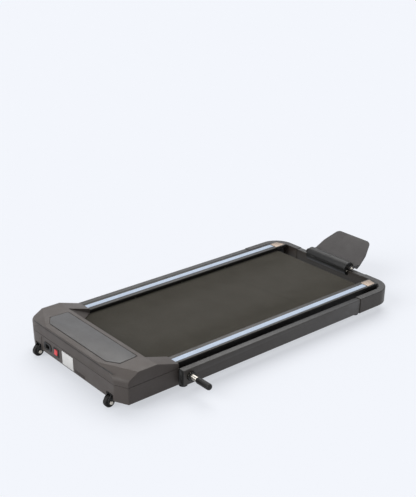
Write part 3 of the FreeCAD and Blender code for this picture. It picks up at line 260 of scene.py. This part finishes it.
# blank matt label with a thin grey keyline and a slightly handled face
def paperLabel(name):
    low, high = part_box("rating_label")
    middle, half = (low + high) / 2, (high - low) / 2
    material, shader, place = startFinish(name, {"Specular IOR Level": 0.35})
    fromSide = half.x - place.maths("ABSOLUTE", place.along("X") - middle.x)
    fromEnd = half.z - place.maths("ABSOLUTE", place.along("Z") - middle.z)
    edge = place.maths("MINIMUM", fromSide, fromEnd)
    keyline = (edge > 0.0028) * (edge < 0.0036)
    fibre = place.noise(0.0012, 5.0)
    soiled = place.noise(0.02, 3.0).ramp(0.4, 0.8)
    paper = soiled.blend(tone(250, 250, 248), tone(240, 240, 238))
    feed(shader, colour=(0.45 * keyline).blend(paper, tone(120, 120, 120)), rough=0.5 + 0.15 * soiled,
         normal=fibre.bumped(0.00008))
    return material


def switchRed(name):
    material, shader, place = startFinish(name, {"Specular IOR Level": 0.5, "Coat Weight": 0.3,
                                                 "Coat Roughness": 0.2})
    drift = place.noise(0.01, 2.0)
    low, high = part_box("switch_rocker")
    # painted shade: the rocker darkens towards its top and bottom ends
    endShade = place.maths("ABSOLUTE", place.along("Z") - (low.z + high.z) / 2).ramp(0.004, 0.011)
    lit = drift.blend(tone(232, 52, 56), tone(244, 70, 72))
    feed(shader, colour=(0.35 * endShade).blend(lit, tone(176, 26, 32)), rough=0.34 + 0.1 * drift,
         normal=place.noise(0.0006).bumped(0.00003))
    return material


looks = {
    "hood_plastic": {"dark": (80, 74, 70), "light": (84, 78, 74), "rough": 0.5, "grain": 0.0007,
                     "depth": 0.00012, "shine": 0.42, "fleck": 1.1},
    "panel_plastic": {"dark": (78, 77, 77), "light": (81, 80, 79), "rough": 0.42, "grain": 0.0005,
                      "depth": 0.00006, "shine": 0.5, "fleck": 1.05},
    "black_plastic": {"dark": (15, 14, 13), "light": (21, 20, 18), "rough": 0.46, "grain": 0.0006,
                      "depth": 0.0001, "shine": 0.45},
    "rail_aluminium": {"dark": (27, 24, 21), "light": (32, 29, 25), "deep": 0.006,
                       "rough": 0.44, "grain": 0.0009, "depth": 0.00008, "shine": 0.5, "coat": 0.15},
    "frame_steel": {"dark": (50, 46, 41), "light": (56, 51, 46), "crown": 0.35,
                    "rough": 0.42, "grain": 0.0011, "depth": 0.00009, "shine": 0.5, "coat": 0.2},
    "elbow_plastic": {"dark": (54, 48, 43), "light": (61, 55, 49), "crown": 0.35,
                      "rough": 0.4, "grain": 0.0008, "depth": 0.00008, "shine": 0.5},
    "plate_plastic": {"dark": (58, 55, 54), "light": (61, 58, 57), "rough": 0.5, "grain": 0.0007,
                      "depth": 0.0001, "shine": 0.45},
    "wheel_nylon": {"dark": (27, 26, 25), "light": (38, 36, 34), "rough": 0.6, "grain": 0.0012,
                    "depth": 0.00015, "shine": 0.35},
    "drive_rubber": {"dark": (24, 24, 24), "light": (36, 35, 34), "rough": 0.72, "grain": 0.0009,
                     "depth": 0.0002, "shine": 0.3},
}
metals = {
    "cap_silver": {"dark": (140, 126, 114), "light": (172, 158, 145), "rough": 0.42, "grain": 0.004,
                   "depth": 0.00004, "lines": (1, 12, 1)},
    "roller_steel": {"dark": (150, 150, 150), "light": (205, 205, 203), "rough": 0.26, "grain": 0.003,
                     "depth": 0.00003, "lines": (20, 1, 1)},
    "bright_screws": {"dark": (166, 160, 150), "light": (224, 218, 206), "rough": 0.25, "grain": 0.002,
                      "depth": 0.00004, "lines": (10, 1, 1)},
    "chrome": {"dark": (128, 124, 116), "light": (190, 186, 178), "rough": 0.12, "grain": 0.004,
               "depth": 0.00001, "lines": (6, 1, 1)},
    "sink_aluminium": {"dark": (150, 152, 154), "light": (205, 206, 208), "rough": 0.35, "grain": 0.003,
                       "depth": 0.00004, "lines": (1, 1, 14)},
}
finishes = {slot: moulded(slot, look) for slot, look in looks.items()}
finishes.update({slot: brushed(slot, look) for slot, look in metals.items()})
finishes.update({
    "belt_rubber": beltRubber("belt_rubber"), "stripe_blue": stripeRubber("stripe_blue"),
    "deck_wood": deckBoard("deck_wood"), "board_green": circuitBoard("board_green"),
    "label_white": paperLabel("label_white"), "switch_red": switchRed("switch_red"),
})
for name, piece in nodes.items():
    piece.material_slots[0].material = finishes[slotOf[name]]
print("finishes:", len(finishes))


# shade a new piece, and let it stand for CAD nodes, or ride on a body by itself
def finished(piece, *standsFor, body=None, slot=None, angle=32):
    pick(piece)
    bpy.ops.object.shade_smooth_by_angle(angle=math.radians(angle))
    slot = slot or slotOf[standsFor[0]]
    piece.data.materials.clear()
    piece.data.materials.append(finishes[slot])
    if standsFor:
        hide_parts(*standsFor)
    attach(piece, body or nodes[standsFor[0]]["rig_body"])
    piece.select_set(False)
    return piece


def pick(*pieces):
    bpy.ops.object.select_all(action="DESELECT")
    for piece in pieces:
        piece.select_set(True)
    bpy.context.view_layer.objects.active = pieces[0]


def settle(piece, name):
    piece.name = name
    piece.data.name = name
    pick(piece)
    bpy.ops.object.transform_apply(location=True, rotation=True, scale=True)
    return piece


def block(name, low, high):
    bpy.ops.mesh.primitive_cube_add(size=1, location=(Vector(low) + Vector(high)) / 2)
    piece = bpy.context.object
    piece.scale = [b - a for a, b in zip(low, high)]
    return settle(piece, name)


def drum(name, centre, radius, width, axis="X", segments=64):
    turn = {"X": (0, math.pi / 2, 0), "Y": (math.pi / 2, 0, 0), "Z": (0, 0, 0)}[axis]
    bpy.ops.mesh.primitive_cylinder_add(vertices=segments, radius=radius, depth=width,
                                        location=centre, rotation=turn)
    return settle(bpy.context.object, name)


# cut away what lies beyond each plane, given by a point and the way it faces
def sliced(piece, *cuts):
    pick(piece)
    bpy.ops.object.mode_set(mode="EDIT")
    for point, facing in cuts:
        bpy.ops.mesh.select_all(action="SELECT")
        bpy.ops.mesh.bisect(plane_co=point, plane_no=facing, use_fill=True, clear_outer=True)
    bpy.ops.object.mode_set(mode="OBJECT")
    return piece


# select the faces or edges that a test picks, and work on them in edit mode
def shaped(piece, chosen, operate, kind="FACE"):
    pick(piece)
    bpy.ops.object.mode_set(mode="EDIT")
    bpy.ops.mesh.select_mode(type=kind)
    bpy.ops.mesh.select_all(action="DESELECT")
    mesh = bmesh.from_edit_mesh(piece.data)
    for item in (mesh.faces if kind == "FACE" else mesh.edges):
        item.select_set(bool(chosen(item)))
    mesh.select_flush_mode()
    bmesh.update_edit_mesh(piece.data)
    operate()
    bpy.ops.object.mode_set(mode="OBJECT")
    return piece


def middleOf(edge):
    return (edge.verts[0].co + edge.verts[1].co) / 2


def rounded(piece, chosen, radius, segments=3):
    return shaped(piece, chosen, lambda: bpy.ops.mesh.bevel(
        offset=radius, segments=segments, profile=0.5, affect="EDGES", clamp_overlap=True), "EDGE")


def cut(piece, *tools):
    for tool in tools:
        pick(piece)
        step = piece.modifiers.new("cut", "BOOLEAN")
        step.operation = "DIFFERENCE"
        step.object = tool
        step.solver = "EXACT"
        bpy.ops.object.modifier_apply(modifier=step.name)
        bpy.data.objects.remove(tool)
    return piece


def softEdges(piece, width, segments=2, angle=35):
    pick(piece)
    step = piece.modifiers.new("edges", "BEVEL")
    step.width = width
    step.segments = segments
    step.limit_method = "ANGLE"
    step.angle_limit = math.radians(angle)
    bpy.ops.object.modifier_apply(modifier=step.name)
    return piece


# a welded copy of a CAD node's mesh, with its flat faces made whole again
def copyOf(node, name):
    piece = bpy.data.objects.new(name, nodes[node].data.copy())
    bpy.context.scene.collection.objects.link(piece)
    piece.data.name = name
    pick(piece)
    bpy.ops.object.mode_set(mode="EDIT")
    bpy.ops.mesh.select_all(action="SELECT")
    bpy.ops.mesh.remove_doubles(threshold=0.00001)
    bpy.ops.mesh.dissolve_limited(angle_limit=math.radians(0.5))
    bpy.ops.object.mode_set(mode="OBJECT")
    return piece


hood = {"corner": 0.050, "cornerDepth": 0.024, "cornerTop": 0.025, "cornerRun": 0.040, "noseDrop": 0.007,
        "noseRun": 0.014, "topLength": 0.144, "rearDrop": 0.030, "wall": 0.003, "notchInset": 0.067,
        "notchLean": 0.07, "seamDrop": 0.0080, "seamHeight": 0.0032, "seamDepth": 0.0024,
        "shadeStripSink": 0.0009, "seamShort": 0.006,
        "seamGap": 0.0007,
        "cornerRound": 0.011, "edgeRound": 0.0035}
hoodTop = coverHigh.z
hoodHalf = (coverHigh.x - coverLow.x) / 2
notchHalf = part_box("running_belt")[1].x - middleX - 0.004


# the upright facet across one front corner
def cornerCuts(sign, inset):
    facing = Vector((sign * hood["cornerDepth"], -hood["corner"], 0)).normalized()
    point = Vector((middleX + sign * (hoodHalf - hood["corner"] / 2), hoodFace + hood["cornerDepth"] / 2, 0))
    return point - inset * facing, facing


# the sloping face above a corner facet
def slopeCuts(sign, inset):
    point, outward = cornerCuts(sign, inset)
    facing = (outward * hood["cornerTop"] / hood["cornerRun"] + Vector((0, 0, 1))).normalized()
    return point + Vector((0, 0, hoodTop - hood["cornerTop"])) - inset * Vector((0, 0, 1)), facing


def coverForm(name, inset, bottom):
    low = (coverLow.x + inset, hoodFace + inset, bottom)
    high = (coverHigh.x - inset, coverHigh.y - inset, hoodTop - inset)
    nose = Vector((0, hoodFace, hoodTop - hood["noseDrop"]))
    rear = Vector((0, hoodFace + hood["topLength"], hoodTop))
    rearRun = coverHigh.y - rear.y
    down = Vector((0, 0, -inset))
    cuts = [(nose + down, Vector((0, -hood["noseDrop"], hood["noseRun"]))),
            (rear + down, Vector((0, hood["rearDrop"], rearRun)))]
    for sign in sides.values():
        cuts += [cornerCuts(sign, inset), slopeCuts(sign, inset)]
    return sliced(block(name, low, high), *cuts)


# what the cover leaves open for the belt: straight at the front, slanted at both sides
def notchForm(inset):
    front = hoodFace + hood["topLength"] - inset
    wide = notchHalf + 0.02
    tool = block("notch", (middleX - wide, front, 0), (middleX + wide, coverHigh.y + 0.02, 0.3))
    corner = Vector((notchHalf, coverHigh.y, coverLow.z))
    slant = Vector((hood["notchInset"], coverHigh.y - front - inset, hoodTop - coverLow.z))
    cuts = []
    for sign in sides.values():
        facing = Vector((sign * slant.y * slant.z, -slant.x * slant.z, -slant.y * hood["notchLean"]))
        facing.normalize()
        cuts.append((Vector((middleX + sign * corner.x, corner.y, corner.z)) + inset * facing, facing))
        cuts.append((Vector((middleX + sign * corner.x, 0, 0)) + Vector((sign * inset, 0, 0)),
                     Vector((sign, 0, 0))))
    return sliced(tool, *cuts)


def makeCover():
    cover = coverForm("hoodCover", 0, coverLow.z + hood["seamGap"])
    cornerZ = hoodTop - hood["cornerTop"]
    edgeX = hoodHalf - hood["corner"] * 1.3

    def blendEdge(edge):
        spot = middleOf(edge)
        level = abs(edge.verts[0].co.z - edge.verts[1].co.z) < 0.001
        return level and abs(spot.z - cornerZ) < 0.004 and abs(spot.x - middleX) > edgeX

    rounded(cover, blendEdge, hood["cornerRound"], 5)
    noseZ = hoodTop - hood["noseDrop"]
    rounded(cover, lambda e: min(v.co.z for v in e.verts) > coverLow.z + 0.004
            and not (middleOf(e).y < hoodFace + 0.001 and abs(middleOf(e).z - noseZ) < 0.001)
            and e.calc_face_angle(0) > math.radians(14), hood["edgeRound"], 3)
    cut(cover, notchForm(0))
    inner = coverForm("coverInside", hood["wall"], coverLow.z - 0.01)
    cut(inner, notchForm(hood["wall"]))
    cut(cover, inner)
    seamTop = hoodTop - hood["seamDrop"]
    seamReach = hoodHalf - hood["corner"] - hood["seamShort"]
    seamLow = (middleX - seamReach, hoodFace - 0.01, seamTop - hood["seamHeight"])
    seamHigh = (middleX + seamReach, hoodFace + hood["seamDepth"], seamTop)
    cut(cover, block("seam", seamLow, seamHigh))
    # painted shade: a black strip set into the seam groove stands for the shadow inside it
    seamShade = block("seamShadeStrip", (seamLow[0], hoodFace + hood["shadeStripSink"], seamLow[2]), seamHigh)
    finished(seamShade, body="root", slot="black_plastic")
    cut(cover, panelForm("panelBed", panelSizes["gap"], hoodTop - panelSizes["sink"], hoodTop + 0.01))
    return finished(softEdges(cover, 0.0007, 1), "hood_cover", angle=24)


panelSizes = {"gap": 0.0026, "sink": 0.0024, "frontCut": 0.044, "cutDepth": 0.029, "taper": 0.005,
              "cornerRound": 0.005, "edgeRound": 0.0005}
panelLow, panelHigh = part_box("hood_panel")


def panelForm(name, grow, bottom, top):
    low = (panelLow.x - grow, panelLow.y - grow, bottom)
    high = (panelHigh.x + grow, panelHigh.y + grow, top)
    cuts = []
    half = panelHigh.x - middleX + grow
    for sign in sides.values():
        front = Vector((middleX + sign * (half - panelSizes["frontCut"]), low[1], 0))
        cuts.append((front, Vector((sign * panelSizes["cutDepth"], -panelSizes["frontCut"], 0))))
        shoulder = Vector((middleX + sign * half, low[1] + panelSizes["cutDepth"], 0))
        length = high[1] - shoulder.y
        cuts.append((shoulder, Vector((sign * length, panelSizes["taper"], 0))))
    return sliced(block(name, low, high), *cuts)


def makePanel():
    panel = panelForm("hoodPanel", 0, panelLow.z, panelHigh.z)
    rounded(panel, lambda e: abs(e.verts[0].co.z - e.verts[1].co.z) > 0.001, panelSizes["cornerRound"], 4)
    rounded(panel, lambda e: min(v.co.z for v in e.verts) > panelHigh.z - 0.0001,
            panelSizes["edgeRound"], 2)
    return finished(panel, "hood_panel")


tray = {"recess": 0.0012, "recessMargin": 0.019, "recessNear": 0.0145, "vents": 15, "ventPitch": 0.0042,
        "ventWidth": 0.0018, "ventHeight": 0.012, "ventDepth": 0.0016, "ventStart": 0.012,
        "ventLift": 0.006, "edge": 0.004, "wellGrow": 0.0065, "openFrom": 0.085, "recessTop": 0.058,
        "trim": 0.0045}


def makeTray():
    shell = block("hoodBase", baseLow, (baseHigh.x, baseHigh.y, coverLow.z - hood["seamGap"]))
    sliced(shell, *[cornerCuts(sign, 0) for sign in sides.values()])
    rounded(shell, lambda e: max(v.co.z for v in e.verts) < baseLow.z + 0.001
            and middleOf(e).y < baseHigh.y - 0.001, tray["edge"], 3)
    rounded(shell, lambda e: abs(e.verts[0].co.z - e.verts[1].co.z) > 0.01
            and middleOf(e).y < baseHigh.y - 0.001, tray["edge"], 3)
    wall = hood["wall"]
    inside = block("trayInside", (baseLow.x + wall, baseLow.y + wall, baseLow.z + wall),
                   (baseHigh.x - wall, baseHigh.y + 0.01, baseHigh.z + 0.01))
    sliced(inside, *[cornerCuts(sign, wall) for sign in sides.values()])
    opening = block("trayOpening", (baseLow.x + wall, baseLow.y + tray["openFrom"], baseLow.z - 0.01),
                    (baseHigh.x - wall, baseHigh.y + 0.02, baseHigh.z))
    cut(shell, inside, opening)
    inletLow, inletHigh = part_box("power_inlet")
    housingLow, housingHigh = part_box("switch_housing")
    recess = block("recess", (inletLow.x - tray["recessMargin"], baseLow.y - 0.01, baseLow.z - 0.01),
                   (housingHigh.x + tray["recessNear"], baseLow.y + tray["recess"],
                    baseLow.z + tray["recessTop"]))
    cut(shell, rounded(recess, lambda e: abs(e.verts[0].co.y - e.verts[1].co.y) > 0.001, 0.004, 3))
    for low, high in ((inletLow, inletHigh), (housingLow, housingHigh)):
        trim = tray["trim"]
        cut(shell, block("hole", (low.x + trim, baseLow.y - 0.01, low.z + trim),
                         (high.x - trim, baseLow.y + 0.01, high.z - trim)))
    for side in sides:
        low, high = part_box(f"wheel_bracket_{side}")
        cut(shell, block("well", (low.x - tray["wellGrow"], baseLow.y - 0.02, 0),
                         (high.x + tray["wellGrow"], high.y, high.z + 0.003)))
    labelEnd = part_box("rating_label")[1].x
    for step in range(tray["vents"]):
        start = labelEnd + tray["ventStart"] + step * tray["ventPitch"]
        cut(shell, block("vent", (start, baseLow.y - 0.01, baseLow.z + tray["ventLift"]),
                         (start + tray["ventWidth"], baseLow.y + tray["ventDepth"],
                          baseLow.z + tray["ventLift"] + tray["ventHeight"])))
    return finished(softEdges(shell, 0.0006, 1), "hood_base", angle=24)


makeCover()
makePanel()
makeTray()
print("hood shells")


roll = {"endRound": 0.007, "holeX": -0.055, "holeRadius": 0.0022, "holeDepth": 0.004}


def makeRoll():
    low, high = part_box("holder_body")
    piece = copyOf("holder_body", "holderRoll")
    ends = (low.x, high.x)
    rounded(piece, lambda e: any(all(abs(v.co.x - end) < 0.0002 for v in e.verts) for end in ends)
            and e.calc_face_angle(0) > math.radians(60), roll["endRound"], 5)
    centre = Vector((middleX + roll["holeX"], low.y, (low.z + high.z) / 2 + 0.004))
    cut(piece, drum("hole", centre, roll["holeRadius"], 2 * roll["holeDepth"] + 0.006, "Y", 20))
    return finished(piece, "holder_body", angle=40)


clamp = {"collarReach": 0.006, "collarGrow": 0.0012, "flutes": 10, "fluteRadius": 0.0022}


# the barrel as it is, with a fluted black collar over its flange
def makeClamp():
    barrel = softEdges(copyOf("clamp_barrel", "clampBarrel"), 0.0006)
    finished(barrel, "clamp_barrel")
    gripLow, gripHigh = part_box("clamp_grip")
    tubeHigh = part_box("upright_tube_right")[1]
    centre = Vector((tubeHigh.x + 0.0003 + clamp["collarReach"] / 2, (gripLow.y + gripHigh.y) / 2,
                     (gripLow.z + gripHigh.z) / 2))
    barrelLow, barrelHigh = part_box("clamp_barrel")
    radius = (barrelHigh.z - barrelLow.z) / 2 + clamp["collarGrow"]
    collar = drum("clampCollar", centre, radius, clamp["collarReach"], segments=60)
    for step in range(clamp["flutes"]):
        turn = 2 * math.pi * step / clamp["flutes"]
        spot = centre + radius * Vector((0, math.cos(turn), math.sin(turn)))
        cut(collar, drum("flute", spot, clamp["fluteRadius"], 0.02, segments=16))
    softEdges(collar, 0.0006)
    finished(collar, body="clamp", slot="black_plastic")
    grip = softEdges(copyOf("clamp_grip", "clampGrip"), 0.0008, 2, 50)
    finished(grip, "clamp_grip", angle=45)


wheel = {"rim": 0.0045, "dish": 0.0018, "hub": 0.006, "edge": 0.0016, "bore": 0.00405}


def makeWheel(side):
    low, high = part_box(f"wheel_{side}")
    centre = (low + high) / 2
    piece = drum(f"wheel{side.capitalize()}", centre, (high.z - low.z) / 2, high.x - low.x, segments=56)
    rounded(piece, lambda e: e.calc_face_angle(0) > math.radians(60), wheel["edge"], 3)

    def dish():
        bpy.ops.mesh.inset(thickness=wheel["rim"], depth=0)
        bpy.ops.mesh.inset(thickness=0.0012, depth=-wheel["dish"])
        bpy.ops.mesh.inset(thickness=wheel["hub"] * 0.8, depth=0)
        bpy.ops.mesh.inset(thickness=0.0008, depth=wheel["dish"])

    for sign in sides.values():
        shaped(piece, lambda f: sign * f.normal.x > 0.999 and f.calc_area() > 0.0002, dish)
    cut(piece, drum("bore", centre, wheel["bore"], 0.05, segments=32))
    return finished(piece, f"wheel_{side}", angle=35)


# the power inlet with its well-rounded flange
inlet = {"flangeRound": 0.011, "edge": 0.0005}


def makeInlet():
    low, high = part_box("power_inlet")
    piece = copyOf("power_inlet", "powerInlet")
    rounded(piece, lambda e: abs(e.verts[0].co.y - e.verts[1].co.y) > 0.001
            and (abs(middleOf(e).x - low.x) < 0.0003 or abs(middleOf(e).x - high.x) < 0.0003),
            inlet["flangeRound"], 6)
    return finished(softEdges(piece, inlet["edge"]), "power_inlet")


makeRoll()
makeClamp()
for side in sides:
    makeWheel(side)
makeInlet()
print("roll, clamp, wheels, inlet")


softened = {
    "side_rail_right": 0.0007, "side_rail_left": 0.0007, "rear_cap_right": 0.0012, "rear_cap_left": 0.0012,
    "cap_plate_right": 0.0003, "cap_plate_left": 0.0003, "wheel_bracket_right": 0.0008,
    "wheel_bracket_left": 0.0008, "wheel_bolts": 0.0006, "switch_housing": 0.0006,
    "tube_end_caps": 0.0012, "upright_tube_right": 0.0003, "upright_tube_left": 0.0003,
    "tablet_plate": 0.0012, "holder_screws": 0.0006, "pivot_bosses": 0.001,
    "pivot_bolt_left": 0.0008, "switch_rocker": 0.0005, "feet": 0.0012, "motor_plate": 0.0004,
    "motor_can": 0.0015, "motor_bracket": 0.0006, "flywheel": 0.0008, "deck_board": 0.0008,
    "rating_label": 0.0001,
}
for node, width in softened.items():
    words = node.split("_")
    title = words[0] + "".join(word.capitalize() for word in words[1:])
    finished(softEdges(copyOf(node, title), width), node)
print("softened pieces:", len(softened))


studio = {"floorSize": 30.0, "backdrop": (241, 244, 250), "bounce": 0.32, "sky": 0.36, "glow": 0.6}


def makeFloor():
    bpy.ops.mesh.primitive_plane_add(size=studio["floorSize"], location=(0, 0, -0.0004))
    floor = bpy.context.object
    floor.name = "floor"
    material = bpy.data.materials.new("floorPaint")
    material.use_nodes = True
    tree = material.node_tree
    shader = tree.nodes["Principled BSDF"]
    shader.inputs["Specular IOR Level"].default_value = 0.0
    shader.inputs["Roughness"].default_value = 1.0
    seen = Wire(tree).node("LightPath", {}, {}, "Is Camera Ray")
    gloss = Wire(tree).node("LightPath", {}, {}, "Is Glossy Ray")
    bounce = (studio["bounce"], studio["bounce"], studio["bounce"] * 1.03, 1)
    shown = seen.maths("MAXIMUM", seen, gloss)
    glow = studio["glow"]
    feed(shader, colour=shown.blend(bounce, tone(*studio["backdrop"], 1.07 * (1 - glow))),
         glow=shown.blend((0, 0, 0, 1), tone(*studio["backdrop"], glow)))
    shader.inputs["Emission Strength"].default_value = 1.0
    floor.data.materials.append(material)


def makeWorld():
    world = bpy.data.worlds.new("studio")
    bpy.context.scene.world = world
    world.use_nodes = True
    tree = world.node_tree
    background = tree.nodes["Background"]
    wire = Wire(tree)
    seen = wire.node("LightPath", {}, {}, "Is Camera Ray")
    gloss = wire.node("LightPath", {}, {}, "Is Glossy Ray")
    sky = studio["sky"]
    shown = seen.maths("MAXIMUM", seen, 0.8 * gloss)
    colour = shown.blend((sky, sky, sky * 1.04, 1), tone(*studio["backdrop"]))
    tree.links.new(colour.socket, background.inputs["Color"])


lamps = {
    "key": {"towards": (-0.45, 0.45, 1.0), "strength": 1.5, "spread": 50, "colour": (1, 0.985, 0.96)},
    "fill": {"towards": (-0.1, -1.0, 0.6), "strength": 1.35, "spread": 40, "colour": (1, 1, 1)},
}


def makeLamps():
    for name, look in lamps.items():
        lamp = bpy.data.lights.new(name, "SUN")
        lamp.energy = look["strength"]
        lamp.angle = math.radians(look["spread"])
        lamp.color = look["colour"]
        holder = bpy.data.objects.new(name, lamp)
        holder.rotation_euler = Vector(look["towards"]).to_track_quat("Z", "Y").to_euler()
        bpy.context.scene.collection.objects.link(holder)


view = {"place": (2.4215, -2.155, 1.6617), "azimuth": 50.124, "elevation": 27.284, "roll": 0.21,
        "lens": 66.76, "shiftY": 0.159}


def makeCamera():
    camera = bpy.data.cameras.new("camera")
    camera.sensor_width = 36
    camera.lens = view["lens"]
    camera.shift_y = view["shiftY"]
    camera.clip_end = 100
    holder = bpy.data.objects.new("camera", camera)
    around = Matrix.Rotation(math.radians(view["azimuth"]), 4, "Z")
    tilt = Matrix.Rotation(math.radians(90 - view["elevation"]), 4, "X")
    roll = Matrix.Rotation(math.radians(view["roll"]), 4, "Z")
    holder.matrix_world = Matrix.Translation(view["place"]) @ around @ tilt @ roll
    bpy.context.scene.collection.objects.link(holder)
    bpy.context.scene.camera = holder


makeFloor()
makeWorld()
makeLamps()
makeCamera()
bpy.context.scene.view_settings.view_transform = "Standard"
print("studio")
